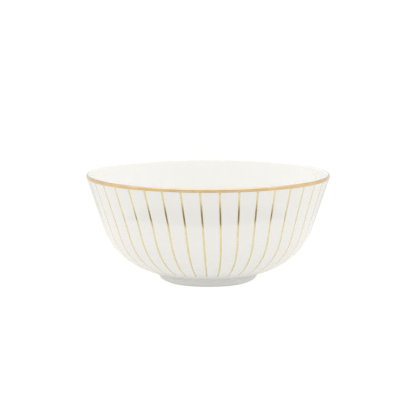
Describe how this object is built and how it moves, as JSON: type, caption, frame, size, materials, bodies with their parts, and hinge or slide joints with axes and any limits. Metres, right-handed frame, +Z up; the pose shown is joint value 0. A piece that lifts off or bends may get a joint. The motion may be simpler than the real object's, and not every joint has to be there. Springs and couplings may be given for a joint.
{
  "type": "porcelain serving bowl",
  "caption": "Deep round porcelain serving bowl on a low foot ring, with a gilded lip and thin gilded pinstripes down the outside.",
  "frame": {"origin": "centre of the foot ring's flat bearing face, on the surface that the bowl stands on", "axes": "+Z up the bowl's axis, out of its mouth; the bowl has no front, and -Y faces the viewer, with the first pinstripe 5.2 degrees round from it"},
  "size_m": [0.2304, 0.2304, 0.1024],
  "materials": {
    "porcelain": "clear gloss glaze over white porcelain",
    "gold": "bright fired gold"
  },
  "bodies": {
    "root": {"bowl_body": "porcelain", "rim_gold_band": "gold", "gold_stripe_01": "gold", "gold_stripe_02": "gold", "gold_stripe_03": "gold", "gold_stripe_04": "gold", "gold_stripe_05": "gold", "gold_stripe_06": "gold", "gold_stripe_07": "gold", "gold_stripe_08": "gold", "gold_stripe_09": "gold", "gold_stripe_10": "gold", "gold_stripe_11": "gold", "gold_stripe_12": "gold", "gold_stripe_13": "gold", "gold_stripe_14": "gold", "gold_stripe_15": "gold", "gold_stripe_16": "gold", "gold_stripe_17": "gold", "gold_stripe_18": "gold", "gold_stripe_19": "gold", "gold_stripe_20": "gold", "gold_stripe_21": "gold", "gold_stripe_22": "gold", "gold_stripe_23": "gold", "gold_stripe_24": "gold", "gold_stripe_25": "gold", "gold_stripe_26": "gold", "gold_stripe_27": "gold", "gold_stripe_28": "gold", "gold_stripe_29": "gold", "gold_stripe_30": "gold", "gold_stripe_31": "gold", "gold_stripe_32": "gold", "gold_stripe_33": "gold", "gold_stripe_34": "gold", "gold_stripe_35": "gold", "gold_stripe_36": "gold", "gold_stripe_37": "gold", "gold_stripe_38": "gold", "gold_stripe_39": "gold", "gold_stripe_40": "gold"}
  },
  "joints": []
}
